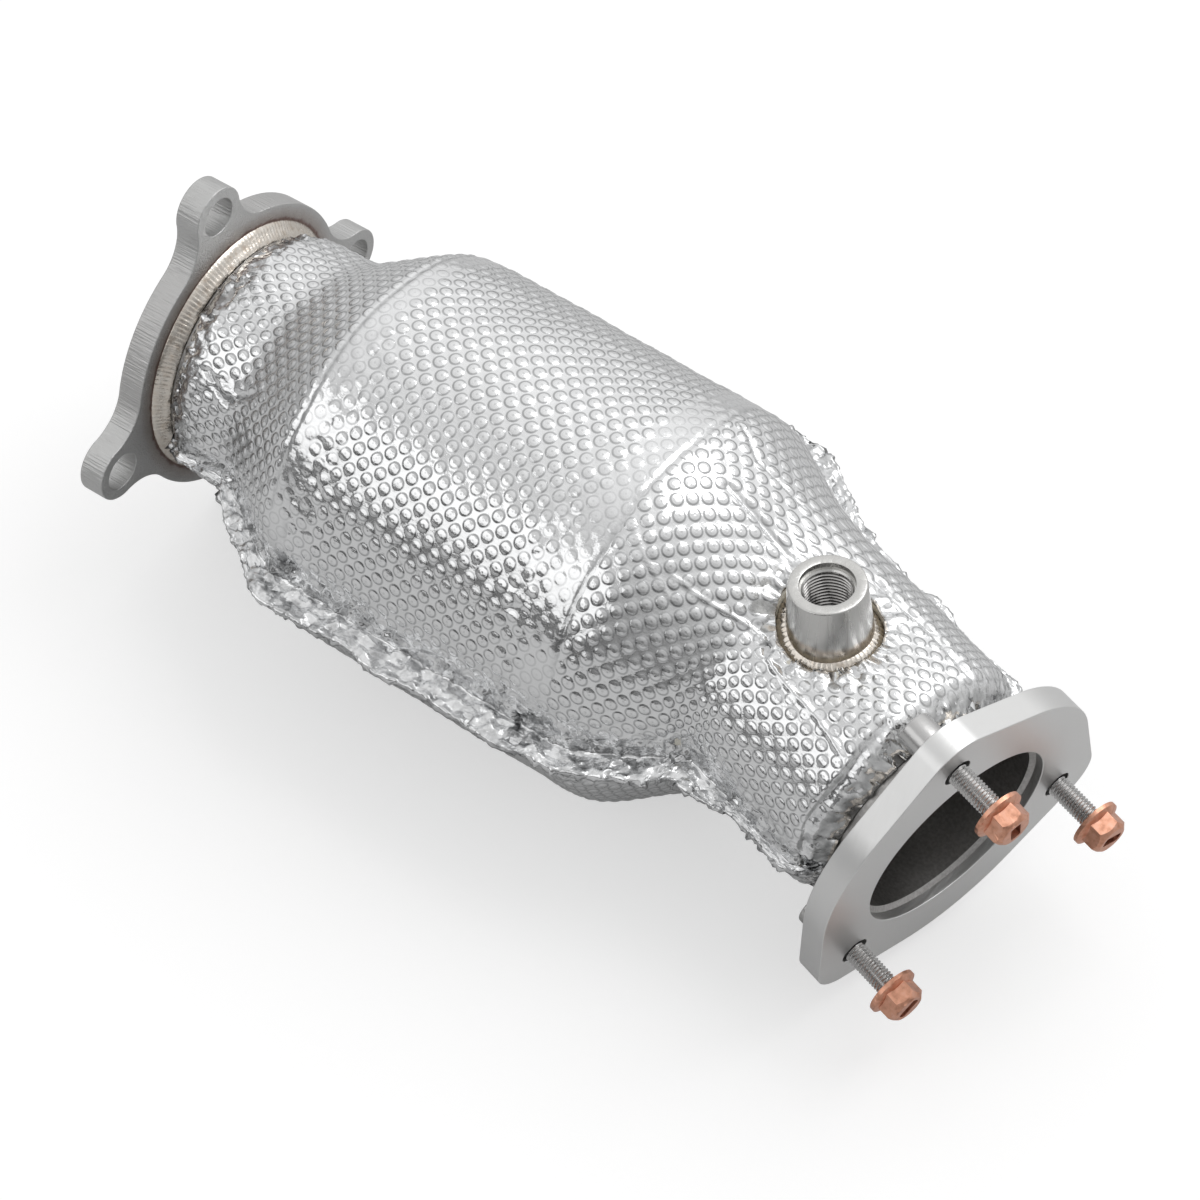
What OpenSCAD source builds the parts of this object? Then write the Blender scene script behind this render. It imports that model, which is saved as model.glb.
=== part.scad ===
// Exhaust downpipe: two flanged tubes, a canned metal-foil catalyst and a
// two-piece embossed foil heat shield over an insulation mat.
// Millimetres. Origin: centre of the turbo flange's sealing face. +X runs down
// the gas path, +Z is up. The whole gas path lies in one plane, the bend plane.

/* [Gas path] */
// Clock angle of the bend plane about +X, from +Y
bend_clock = 205.3; // [180:0.1:230]
// Length of the neck tube, from the sealing face to the can's axis
neck_l = 20; // [18:0.5:24]
// Small angle between the neck and the can
can_tilt = 1.2; // [0:0.1:2]
// Angle between the can and the outlet tube
outlet_bend = 15; // [10:0.1:16]
// Length of the outlet tube, from the bend to the outlet flange's face
outlet_run = 86.5; // [84:0.5:92]
// Wall of the neck, cones, can and outlet tube
tube_wall = 1.5; // [1.2:0.1:2]
// Width of the weld beads over the butt joints
seam_w = 4; // [3:0.5:4]
// Radial clearance of a tube in the piece it is welded into
slip = 0.1; // [0.05:0.05:0.2]

/* [Inlet flange] */
// Thickness of the plate
inlet_plate_t = 10; // [8:0.5:12]
// Radius of the round middle
inlet_ring_r = 56; // [54:0.5:58]
// Distance of the stud holes from the bore's axis
stud_pcr = 67.5; // [66:0.5:70]
// Diameter of the stud holes
stud_hole_d = 14.5; // [11:0.5:15]
// Metal left round each stud hole
ear_wall = 4.25; // [3.5:0.25:6]
// Radius of the hollows between the ears and the middle
ear_hollow_r = 18; // [10:1:22]
// Clock angle of the first stud hole, from +Y
stud_clock_1 = 93; // [88:0.5:98]
// Clock angle of the second stud hole
stud_clock_2 = 187; // [182:0.5:192]
// Clock angle of the third stud hole
stud_clock_3 = 269; // [264:0.5:274]
// Clock angle of the fourth stud hole
stud_clock_4 = 351.5; // [346:0.5:356]

/* [Neck tube] */
// Outside diameter of the neck tube
neck_od = 88.9; // [86:0.1:90]
// Leg of the fillet weld between flange and tube
neck_weld_leg = 5; // [3:0.5:6]

/* [Can] */
// Outside diameter of the can
can_od = 130; // [126:0.5:132]
// Length of the can
can_l = 116; // [106:1:118]
// Length of each cone's straight end inside the can
spigot_l = 8; // [5:0.5:12]
// Straight length of the inlet cone's narrow end
neck_land = 25; // [22:0.5:26]
// Length of the inlet cone's slope
inlet_slope_l = 34; // [30:1:38]
// Length of the outlet cone's slope
outlet_slope_l = 38; // [34:1:42]
// Straight length of the outlet cone's narrow end, up to the bend
outlet_land = 11; // [9:0.5:14]
// How much thinner the stamping leaves the sheet at a cone's narrow end
cone_thinning = 0.15; // [0:0.05:0.3]
// Straight length between each weld seam and its slope
seam_land = 4; // [3:0.5:6]

/* [Catalyst core] */
// Gap between the core's mantle and the cones' straight ends
core_end_gap = 2; // [0.5:0.5:6]
// Wall of the mantle tube
mantle_wall = 1; // [0.8:0.1:1.5]
// Thickness of the wound foils
foil_t = 0.5; // [0.4:0.05:0.6]
// Turns in the winding
winding_turns = 9; // [7:1:10]
// Length of one corrugation
corrugation = 6.6; // [6:0.2:9]
// Radius at which the winding starts
winding_start_r = 7; // [6:0.5:10]

/* [Outlet flange] */
// Thickness of the plate
outlet_plate_t = 10; // [8:0.5:12]
// Radius of the plate's three bowed sides
outlet_side_r = 58.5; // [57:0.5:60]
// Distance of the screws from the bore's axis
screw_pcr = 52.5; // [52:0.5:54]
// Radius of the plate's corners, about each screw
outlet_corner_r = 16; // [14:0.5:17]
// Clock angle of the first screw, from the bend plane
screw_clock = 17.5; // [0:0.5:30]
// Outside diameter of the outlet tube
outlet_od = 76.1; // [74:0.1:77]
// Depth of the tube's end below the outlet face
outlet_recess = 5; // [2:0.5:6]
// Leg of the fillet weld behind the plate
outlet_weld_leg = 4; // [3:0.5:5]

/* [Screws and nuts] */
// Diameter of the screws
screw_d = 8; // [6:1:8]
// Clearance hole through the plate
screw_hole_d = 10.5; // [9:0.5:11]
// Bare screw between the plate and the nut
screw_stand = 18; // [12:0.5:22]
// Diameter of the round head
head_d = 13; // [12:0.5:14]
// Height of the round head
head_h = 11.5; // [8:0.5:12]
// Width across the flats of the head's socket
socket_af = 6; // [5:0.5:7]
// Width across the flats of the nut
nut_af = 13; // [12:0.5:13]
// Height of the nut
nut_h = 9; // [8:0.5:10]
// Diameter of the nut's flange
nut_flange_d = 18.4; // [16:0.2:19]
// Thickness of the nut's flange at its rim
nut_flange_t = 1.4; // [1:0.1:2]
// Radial clearance of the nut on the screw
nut_clear = 0.05; // [0.02:0.01:0.1]

/* [Sensor bung] */
// Distance of the bung's foot from the outlet face, along the tube's axis
bung_from_face = 61; // [52:1:63]
// Lean of the bung back towards the can
bung_lean = 12; // [0:1:14]
// Clock angle of the bung, from the bend plane
bung_clock = 248; // [240:1:256]
// Height of the bung above the tube
bung_h = 26; // [20:1:32]
// Diameter of the bung's mouth
bung_top_d = 26.4; // [25:0.2:28]
// Diameter of the bung's foot
bung_foot_d = 29.6; // [28.5:0.1:31]
// Bore of the M18 x 1.5 thread
thread_bore_d = 16.4; // [16:0.1:17]
// Diameter of the plain mouth above the thread
mouth_d = 18.6; // [18.2:0.1:20]
// Depth of the plain mouth
mouth_depth = 2.5; // [1:0.5:4]
// Leg of the weld round the foot
bung_weld_leg = 2.4; // [2:0.2:2.8]

/* [Heat shield] */
// Thickness of the embossed foil
shield_t = 0.6; // [0.5:0.05:0.9]
// Radius of the upper half shell round the can
upper_r = 70.5; // [70:0.25:74]
// Radius of the lower half shell round the can
lower_r = 76.25; // [73:0.25:77]
// Radius of both half shells round the neck tube
shield_neck_r = 49; // [48:0.25:51]
// Radius of both half shells round the outlet tube
shield_outlet_r = 48.5; // [47:0.25:50]
// Clock angle of the near hem, from the bend plane
hem_clock = -18.3; // [-24:0.1:-12]
// Radius of the hem's folded edge beside the can
hem_r = 83; // [82:0.5:87]
// Radius of the far hem's folded edge beside the can
hem_far_r = 80; // [79:0.5:84]
// Radius of both hems' folded edges at the neck
hem_neck_r = 52.5; // [52:0.5:56]
// Radius of the near hem's folded edge at the start of the outlet tube
hem_outlet_r = 58; // [55:0.5:60]
// Radius of the far hem's folded edge beside the outlet tube
hem_far_outlet_r = 54.5; // [53:0.5:58]
// Radius to which the near hem narrows at its outlet end
hem_end_r = 48; // [46:0.5:54]
// Distance by which the shells' inlet slope lies downstream of the cone's
inlet_lag = 2; // [0:0.5:2.5]
// Distance by which the upper shell's outlet slope lies downstream of the cone's
outlet_lag = 9; // [6:0.5:12]
// Distance by which the lower shell's outlet slope lies downstream of the upper's
belly_lag = 3; // [0:0.5:5]
// Distance by which the hems' spread runs past both ends of the inlet slope
hem_spread = 2; // [0:0.5:6]
// Distance by which the near hem narrows later than the outlet cone
hem_lag = 24; // [20:0.5:28]
// Distance by which the far hem narrows later than the outlet cone
hem_far_lag = 12; // [8:0.5:14]
// Least width of the hem
hem_least_w = 4; // [4:0.25:6]
// Depth of the folded edge under the lower shell's rim
hem_fold = 4; // [2.5:0.5:5]
// Gap between the sheets in the hem
hem_gap = 0.3; // [0.2:0.05:0.5]
// Depth of the waves along the hem's edge
hem_wave = 0.9; // [0:0.1:1.2]
// Gap between the shield's end and the inlet flange's weld
shield_start_gap = 1.5; // [1:0.5:4]
// Gap between the shield's other end and the outlet flange's back
shield_end_gap = 9; // [8.5:0.5:12]
// Clearance of the foil's ends on the tubes
end_clear = 0.55; // [0.45:0.05:0.8]
// Clearance round the bung's weld
bung_hole_clear = 0.8; // [0.5:0.1:1.2]
// Length over which the shells close in on the tubes at their ends
end_tuck_l = 11; // [8:0.5:14]
// Depth to which the upper shell is tucked in round the bung
bung_tuck = 6; // [3:0.5:7]

/* [Insulation] */
// Clearance between the mat and the hot parts
mat_inner_clear = 1; // [0.8:0.1:1.5]
// Clearance between the mat and the foil
mat_outer_clear = 0.4; // [0.3:0.1:0.8]
// Distance of the mat's ends from the shield's ends
mat_end_inset = 14; // [12:1:20]

/* [Hidden] */

steel = "#b9b7b2";
bright = "#cfd0d0";
weld_tan = "#a8906c";
foil_silver = "#dcdcdc";
copper = "#d08a66";
mat_white = "#e8e4d8";

round_fn = 96;
far = 400;
// Depth by which a hollow reaches into the discs that it blends, so that their
// outlines cross instead of only touching
blend_bite = 0.05;
stud_clocks = [stud_clock_1, stud_clock_2, stud_clock_3, stud_clock_4];
screw_step = 120;

neck_r = neck_od / 2;
can_r = can_od / 2;
can_ir = can_r - tube_wall;
outlet_r = outlet_od / 2;
ear_r = stud_hole_d / 2 + ear_wall;
screw_end = screw_stand + nut_h * 2 / 3;

// Places along the can's axis, from its meeting with the neck's axis
inlet_slope_end = neck_land + inlet_slope_l;
can_start = inlet_slope_end + seam_land;
can_end = can_start + can_l;
outlet_slope_start = can_end + seam_land;
outlet_slope_end = outlet_slope_start + outlet_slope_l;
can_run = outlet_slope_end + outlet_land;
core_start = can_start + spigot_l + core_end_gap;
core_l = can_l - 2 * (spigot_l + core_end_gap);
mantle_r = can_ir - slip;
cone_end_r = can_ir - slip;

// Distances along the whole gas path, from the sealing face
path_can = neck_l;
path_bend = neck_l + can_run;
path_face = path_bend + outlet_run;
path_shield_start = inlet_plate_t + neck_weld_leg + shield_start_gap;
path_shield_end = path_face - outlet_plate_t - shield_end_gap;

// Each frame below has +X along its tube and +Y towards the inside of the bend
module bend_plane() {
    rotate([bend_clock, 0, 0]) children();
}

module can_axis() {
    bend_plane() translate([neck_l, 0, 0]) rotate([0, 0, can_tilt]) children();
}

module outlet_axis() {
    can_axis() translate([can_run, 0, 0]) rotate([0, 0, outlet_bend]) children();
}

module outlet_face() {
    outlet_axis() translate([outlet_run, 0, 0]) children();
}

module screw_place(number) {
    outlet_face() rotate([screw_clock + screw_step * (number - 1), 0, 0])
        translate([0, screw_pcr, 0]) children();
}

module bung_axis() {
    outlet_face() translate([-bung_from_face, 0, 0])
        rotate([bung_clock, 0, 0]) rotate([0, 0, bung_lean]) rotate([-90, 0, 0])
            children();
}

// Turned pieces: the profile is drawn as [radius, distance along the axis]
module turned(fn = round_fn) {
    rotate([0, 90, 0]) rotate_extrude($fn = fn) children();
}

module rod(radius, from, to, fn = round_fn) {
    translate([from, 0, 0]) rotate([0, 90, 0]) cylinder(r = radius, h = to - from, $fn = fn);
}

module tube(outer, inner, from, to) {
    turned() translate([inner, from]) square([outer - inner, to - from]);
}

// Everything on the +X side of the frame's origin
module half_space() {
    translate([0, -far / 2, -far / 2]) cube(far);
}

module before_half_space() {
    translate([-far, -far / 2, -far / 2]) cube(far);
}

// Flat outlines: y and z of the plate, drawn on [y, z] and stood up on +X
module plate(thickness) {
    rotate([90, 0, 90]) linear_extrude(thickness) children();
}

function polar(radius, angle) = [radius * cos(angle), radius * sin(angle)];

// An ear for one stud, drawn along +X: a disc about the stud hole, blended into
// the round middle by a hollow on each side
module ear() {
    ring_to_hollow = inlet_ring_r + ear_hollow_r;
    ear_to_hollow = ear_r + ear_hollow_r;
    swing = acos((ring_to_hollow ^ 2 + stud_pcr ^ 2 - ear_to_hollow ^ 2)
        / (2 * stud_pcr * ring_to_hollow));
    centre = [stud_pcr, 0];
    hollows = [for (side = [-1, 1]) polar(ring_to_hollow, side * swing)];
    touches = [for (hollow = hollows) centre + (hollow - centre) * ear_r / ear_to_hollow];
    difference() {
        polygon([
            [0, 0], polar(inlet_ring_r, -swing), hollows[0], touches[0],
            touches[1], hollows[1], polar(inlet_ring_r, swing)
        ]);
        for (hollow = hollows)
            translate(hollow) circle(r = ear_hollow_r + blend_bite, $fn = round_fn);
    }
    translate(centre) circle(r = ear_r, $fn = round_fn);
}

module inlet_outline() {
    circle(r = inlet_ring_r, $fn = round_fn);
    for (clock = stud_clocks)
        rotate(clock) ear();
}

module inlet_flange() {
    color(steel) difference() {
        plate(inlet_plate_t) inlet_outline();
        rod(neck_r + slip, -1, inlet_plate_t + 1);
        for (clock = stud_clocks)
            rotate([clock, 0, 0]) translate([0, stud_pcr, 0])
                rod(stud_hole_d / 2, -1, inlet_plate_t + 1);
    }
}

// A fillet weld's section: a hollow-faced triangle in the corner of a plate
// and a tube, with its legs along both
module fillet_section(leg) {
    bulge = leg * 0.62;
    polygon([[0, 0], [leg, 0], [bulge, leg * 0.22], [leg * 0.22, bulge], [0, leg]]);
}

module inlet_flange_weld() {
    color(weld_tan) turned() translate([neck_r, inlet_plate_t]) fillet_section(neck_weld_leg);
}

// The tube's end is faced flush with the plate
module neck_tube() {
    color(bright) difference() {
        tube(neck_r, neck_r - tube_wall, 0, neck_l + tube_wall);
        can_axis() half_space();
    }
}

// A low round bead over a butt joint that is almost in line, so that one turned
// bead just clears both of its tubes
module butt_bead(inner_r) {
    color(weld_tan) turned() intersection() {
        translate([inner_r - seam_w * 0.3, 0]) circle(d = seam_w, $fn = 24);
        translate([inner_r, -seam_w]) square([seam_w, 2 * seam_w]);
    }
}

module neck_seam() {
    can_axis() butt_bead(neck_r + seam_w / 2 * tan(can_tilt));
}

// Section of a stamped cone: a straight land, the slope and a straight end
// that fits inside the can. It is drawn from the narrow end, as [radius, place].
module cone_section(narrow_r, wide_r, narrow_end, slope_start, slope_end, wide_end) {
    slope = atan2(wide_r - narrow_r, slope_end - slope_start);
    shift = tube_wall * tan(slope / 2);
    inner_r = narrow_r - tube_wall + cone_thinning;
    polygon([
        [narrow_r, narrow_end], [narrow_r, slope_start],
        [wide_r, slope_end], [wide_r, wide_end],
        [wide_r - tube_wall, wide_end], [wide_r - tube_wall, slope_end + shift],
        [inner_r, slope_start + shift], [inner_r, narrow_end]
    ]);
}

module inlet_cone() {
    color(bright) can_axis() turned()
        cone_section(neck_r, cone_end_r, 0, neck_land, inlet_slope_end, can_start + spigot_l);
}

module can_shell() {
    color(bright) can_axis() tube(can_r, can_ir, can_start, can_end);
}

module can_inlet_seam() {
    color(weld_tan) can_axis() turned() translate([cone_end_r, can_start]) mirror([0, 1])
        fillet_section(can_r - cone_end_r);
}

module can_outlet_seam() {
    color(weld_tan) can_axis() turned() translate([cone_end_r, can_end])
        fillet_section(can_r - cone_end_r);
}

module core_mantle() {
    color(steel) can_axis()
        tube(mantle_r, mantle_r - mantle_wall, core_start, core_start + core_l);
}

// The winding: a flat foil and a corrugated foil rolled up together. Both
// follow the same spiral, the corrugated one fills the pitch between turns, and
// its last crest meets the mantle.
winding_pitch = (mantle_r - mantle_wall - winding_start_r + foil_t) / (winding_turns + 1);
corrugation_h = winding_pitch - 2 * foil_t - 2 * slip;
winding_l = PI * winding_turns * (2 * winding_start_r + winding_turns * winding_pitch);
corrugations = floor(winding_l / corrugation);
flat_steps = winding_turns * 30;

function spiral_r(turn) = winding_start_r + winding_pitch * turn;

// Turns wound when a length s of foil has been rolled up
function turns_at(s) =
    (sqrt(winding_start_r ^ 2 + winding_pitch * s / PI) - winding_start_r) / winding_pitch;

function flat_edge(lift) = [
    for (i = [0 : flat_steps])
        let (turn = i * winding_turns / flat_steps)
            polar(spiral_r(turn) + lift, 360 * turn)
];

function wavy_edge(lift) = [
    for (i = [0 : 2 * corrugations])
        let (turn = turns_at(i * winding_l / (2 * corrugations)))
            polar(spiral_r(turn) + lift + (i % 2) * (corrugation_h - foil_t), 360 * turn)
];

function reversed(list) = [for (i = [len(list) - 1 : -1 : 0]) list[i]];

module wound(inner_edge, outer_edge) {
    can_axis() translate([core_start, 0, 0]) rotate([90, 0, 90])
        linear_extrude(core_l) polygon(concat(inner_edge, reversed(outer_edge)));
}

module core_flat_foil() {
    color(steel) wound(flat_edge(0), flat_edge(foil_t));
}

module core_corrugated_foil() {
    color(steel) wound(wavy_edge(foil_t + slip), wavy_edge(2 * foil_t + slip));
}

// The outlet cone's narrow end and the outlet tube meet on the plane that
// halves the bend, so their cut ends are the same ellipse
module outlet_cone() {
    color(bright) difference() {
        can_axis() translate([can_run, 0, 0]) mirror([1, 0, 0]) turned()
            cone_section(outlet_r, cone_end_r, -outlet_land, outlet_land,
                can_run - outlet_slope_start, can_run - can_end + spigot_l);
        outlet_axis() rotate([0, 0, -outlet_bend / 2]) half_space();
    }
}

module outlet_tube() {
    color(bright) difference() {
        outlet_axis() tube(outlet_r, outlet_r - tube_wall, -outlet_land,
            outlet_run - outlet_recess);
        outlet_axis() rotate([0, 0, -outlet_bend / 2]) before_half_space();
        bung_axis() cylinder(d = thread_bore_d, h = 2 * outlet_r, $fn = round_fn);
    }
}

// The bead lies in the plane of the mitred joint, outside its ellipse
module outlet_seam() {
    half_bend = outlet_bend / 2;
    outlet_axis() rotate([0, 0, -half_bend])
        butt_bead(outlet_r / cos(half_bend) + seam_w / 2 * tan(half_bend));
}

// The middle disc, blended to a disc about each screw by their common tangents
module outlet_outline() {
    swing = acos((outlet_side_r - outlet_corner_r) / screw_pcr);
    screw = [screw_pcr, 0];
    circle(r = outlet_side_r, $fn = round_fn);
    for (number = [1 : 3])
        rotate(screw_clock + screw_step * (number - 1)) {
            translate(screw) circle(r = outlet_corner_r, $fn = round_fn);
            polygon([
                [0, 0], polar(outlet_side_r, -swing), screw + polar(outlet_corner_r, -swing),
                screw + polar(outlet_corner_r, swing), polar(outlet_side_r, swing)
            ]);
        }
}

module outlet_flange() {
    color(steel) difference() {
        outlet_face() translate([-outlet_plate_t, 0, 0]) plate(outlet_plate_t) outlet_outline();
        outlet_face() rod(outlet_r + slip, -outlet_plate_t - 1, 1);
        for (number = [1 : 3])
            screw_place(number) rod(screw_hole_d / 2, -outlet_plate_t - 1, 1);
    }
}

module outlet_flange_weld() {
    color(weld_tan) outlet_face() translate([-outlet_plate_t, 0, 0]) mirror([1, 0, 0])
        turned() translate([outlet_r, 0]) fillet_section(outlet_weld_leg);
}

// A small fillet inside the flange's bore, on the recessed end of its tube
module outlet_bore_weld() {
    bore_r = outlet_r + slip;
    color(weld_tan) outlet_face() translate([-outlet_recess, 0, 0]) turned()
        polygon([[bore_r, 0], [bore_r, tube_wall], [bore_r - tube_wall, 0]]);
}

module hexagon(across_flats, from, to) {
    translate([from, 0, 0]) rotate([0, 90, 0])
        cylinder(d = across_flats / cos(30), h = to - from, $fn = 6);
}

module cone(r_from, r_to, from, to) {
    translate([from, 0, 0]) rotate([0, 90, 0])
        cylinder(r1 = r_from, r2 = r_to, h = to - from, $fn = round_fn);
}

module flange_screw(number) {
    edge = 0.8;
    head_end = -outlet_plate_t - head_h;
    color(steel) screw_place(number) difference() {
        union() {
            rod(screw_d / 2, -outlet_plate_t - 1, screw_end);
            rod(head_d / 2, head_end + edge, -outlet_plate_t);
            cone(head_d / 2 - edge, head_d / 2, head_end, head_end + edge);
        }
        hexagon(socket_af, head_end - 1, head_end + head_h / 2);
    }
}

// A flange nut whose outer end is squeezed to a slot, so that it locks
module flange_nut(number) {
    nut_end = screw_stand + nut_h;
    flange_top = screw_stand + nut_flange_t;
    hex_start = flange_top + nut_flange_t;
    corner_r = nut_af / 2 / cos(30);
    crown = 2;
    slot_w = screw_d / 2;
    color(copper) screw_place(number) difference() {
        union() {
            rod(nut_flange_d / 2, screw_stand, flange_top);
            cone(nut_flange_d / 2, nut_af / 2, flange_top, hex_start);
            intersection() {
                hexagon(nut_af, flange_top, nut_end);
                union() {
                    rod(corner_r + 1, screw_stand, nut_end - crown);
                    cone(corner_r, nut_af / 2 - crown / 2, nut_end - crown, nut_end);
                }
            }
        }
        rod(screw_d / 2 + nut_clear, screw_stand - 1, nut_end - crown);
        intersection() {
            rod(screw_d / 2 + nut_clear, nut_end - crown - 1, nut_end + 1);
            translate([nut_end - crown - 1, -screw_d, -slot_w / 2])
                cube([crown + 2, 2 * screw_d, slot_w]);
        }
    }
}

module sensor_bung() {
    edge = 0.6;
    top = outlet_r + bung_h;
    foot_r = bung_foot_d / 2;
    top_r = bung_top_d / 2;
    bore_r = thread_bore_d / 2;
    mouth_r = mouth_d / 2;
    color(bright) difference() {
        bung_axis() rotate_extrude($fn = round_fn) polygon([
            [bore_r, 0], [foot_r, 0], [foot_r, outlet_r],
            [top_r, top - edge], [top_r - edge, top],
            [mouth_r, top], [mouth_r, top - mouth_depth], [bore_r, top - mouth_depth]
        ]);
        outlet_axis() rod(outlet_r, -outlet_land, outlet_run);
    }
}

// The weld follows the saddle where the bung stands on the tube
module sensor_bung_weld() {
    foot_r = bung_foot_d / 2;
    color(weld_tan) difference() {
        intersection() {
            bung_axis() cylinder(r = foot_r + bung_weld_leg, h = 2 * outlet_r, $fn = round_fn);
            outlet_axis() rod(outlet_r + bung_weld_leg, -outlet_land, outlet_run);
        }
        outlet_axis() rod(outlet_r, -outlet_land - 1, outlet_run + 1);
        bung_axis() cylinder(r = foot_r, h = outlet_r, $fn = round_fn);
        bung_axis() translate([0, 0, outlet_r])
            cylinder(r1 = foot_r, r2 = bung_top_d / 2, h = bung_h, $fn = round_fn);
    }
}

// The heat shield's half shells and their mats are lofts along the gas path.
// A place on the path is its distance from the sealing face. The path's middle
// line is rounded off at the bend, and [x, y, heading] is in the bend plane.
bend_ease = 12;
can_path_end = [
    neck_l + (can_run - bend_ease) * cos(can_tilt), (can_run - bend_ease) * sin(can_tilt)
];
bend_corner = [neck_l + can_run * cos(can_tilt), can_run * sin(can_tilt)];
outlet_heading = can_tilt + outlet_bend;
outlet_path_start = bend_corner + polar(bend_ease, outlet_heading);

function spine(place) =
    place < path_can ? [place, 0, 0]
    : place < path_bend - bend_ease
        ? concat([neck_l, 0] + polar(place - path_can, can_tilt), [can_tilt])
    : place > path_bend + bend_ease
        ? concat(bend_corner + polar(place - path_bend, outlet_heading), [outlet_heading])
    : let (f = (place - path_bend + bend_ease) / (2 * bend_ease))
        concat((1 - f) ^ 2 * can_path_end + 2 * f * (1 - f) * bend_corner
            + f ^ 2 * outlet_path_start, [can_tilt + outlet_bend * f]);

// A point of a ring: across is measured towards the near hem, and rise away
// from the hem on the side of the half shell (1 upper, -1 lower)
function on_ring(place, side, point) =
    let (
        at = spine(place),
        rise = side * point[1],
        y = point[0] * cos(hem_clock) + rise * sin(hem_clock),
        z = point[0] * sin(hem_clock) - rise * cos(hem_clock)
    )
    [at[0] - y * sin(at[2]), at[1] + y * cos(at[2]), z];

// Skins the closed loops that section(place) gives. A loop is its outer points
// from the near hem to the far one, then its inner points back again.
module half_loft(side, places, section) {
    loops = [for (place = places) section(place)];
    n = len(loops[0]);
    last = (len(places) - 1) * n;
    points = [for (i = [0 : len(places) - 1]) for (p = loops[i]) on_ring(places[i], side, p)];
    skin = [
        for (i = [0 : len(places) - 2]) for (j = [0 : n - 1])
            let (a = i * n + j, b = i * n + (j + 1) % n)
                each [[a, b, b + n], [a, b + n, a + n]]
    ];
    caps = [
        for (j = [0 : n / 2 - 2])
            let (k = n - 1 - j)
                each [
                    [j, k, k - 1], [j, k - 1, j + 1],
                    [last + j, last + k - 1, last + k], [last + j, last + j + 1, last + k - 1]
                ]
    ];
    faces = concat(skin, caps);
    bend_plane()
        polyhedron(points, side > 0 ? faces : [for (f = faces) reversed(f)], convexity = 6);
}

// A slope from 0 to 1 with rounded corners
corner_softness = 0.07;
function soft(t) = corner_softness * ln(1 + exp(t / corner_softness));
function slope(place, from, to) =
    let (t = (place - from) / (to - from)) soft(t) - soft(t - 1);

slope_in_1 = path_can + neck_land;
slope_in_2 = path_can + inlet_slope_end;
slope_out_1 = path_can + outlet_slope_start;
slope_out_2 = path_can + outlet_slope_end;
bung_place = path_face - bung_from_face - shield_outlet_r * sin(bung_lean);
bung_angle = hem_clock - bung_clock + 360;
bung_clear_r = bung_foot_d / 2 + bung_weld_leg + bung_hole_clear;

// The shells close in on the tubes over their last few millimetres
function ends_closed(place, radius) =
    let (
        in_r = neck_r + end_clear + shield_t,
        out_r = outlet_r + end_clear + shield_t,
        a = min(1, (place - path_shield_start) / end_tuck_l),
        b = min(1, (path_shield_end - place) / end_tuck_l)
    )
    a < 1 ? in_r + (radius - in_r) * sin(90 * a)
    : b < 1 ? out_r + (radius - out_r) * sin(90 * b)
    : radius;

function shell_r(place, side) =
    let (
        can_shell_r = side > 0 ? upper_r : lower_r,
        lag = outlet_lag + (side > 0 ? 0 : belly_lag)
    )
    shield_neck_r
        + (can_shell_r - shield_neck_r)
            * slope(place, slope_in_1 + inlet_lag, slope_in_2 + inlet_lag)
        - (can_shell_r - shield_outlet_r)
            * slope(place, slope_out_1 + lag, slope_out_2 + lag);

// Depth of the tuck round the bung, at an angle from the near hem
function tuck(place, side, angle) =
    let (
        along = place - bung_place,
        round = (angle - bung_angle) * shield_outlet_r * PI / 180
    )
    side < 0 ? 0 : bung_tuck * exp(-(along ^ 2 + round ^ 2) / (bung_clear_r + bung_tuck) ^ 2);

function outer_r(place, side, angle) =
    ends_closed(place, shell_r(place, side)) - tuck(place, side, angle);

// Radius of the hem's folded edge, on the near side or the far side
function folded_edge_r(place, far_side) =
    let (
        can_edge = far_side ? hem_far_r : hem_r,
        tube_edge = far_side ? hem_far_outlet_r : hem_outlet_r,
        lag = far_side ? hem_far_lag : hem_lag,
        narrowed = slope_out_2 + lag,
        end_edge = far_side ? tube_edge : hem_end_r,
        edge = hem_neck_r
            + (can_edge - hem_neck_r)
                * slope(place, slope_in_1 - hem_spread, slope_in_2 + hem_spread)
            - (can_edge - tube_edge) * slope(place, slope_out_1, narrowed)
            - (tube_edge - end_edge)
                * max(0, place - narrowed) / (path_shield_end - narrowed),
        wave = hem_wave * (sin(360 * place / 43) + 0.6 * sin(360 * place / 27 + 40)),
        widest = max(shell_r(place, 1), shell_r(place, -1))
    )
    ends_closed(place, max(edge + wave, widest + hem_least_w) - hem_least_w) + hem_least_w;

arc_start = 5;
arc_steps = 20;
hem_root = 1.2;
function arc_angle(i) = arc_start + (180 - 2 * arc_start) * i / arc_steps;

function arc(place, side, inset) = [
    for (i = [0 : arc_steps])
        let (angle = arc_angle(i))
            polar(outer_r(place, side, angle) - inset, angle) + [0, hem_gap / 2]
];

function mirrored(points) = [for (p = points) [-p[0], p[1]]];

// The rim of one face of a shell, from the near hem over the arc to the far hem
function rim(near, arc_points, far_points) =
    concat(near, arc_points, reversed(mirrored(far_points)));

// A shell's loop from its near and far hems, each as [outer points, inner points]
function shell_loop(place, side, near, far_hem) = concat(
    rim(near[0], arc(place, side, 0), far_hem[0]),
    reversed(rim(near[1], arc(place, side, shield_t), far_hem[1]))
);

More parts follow.
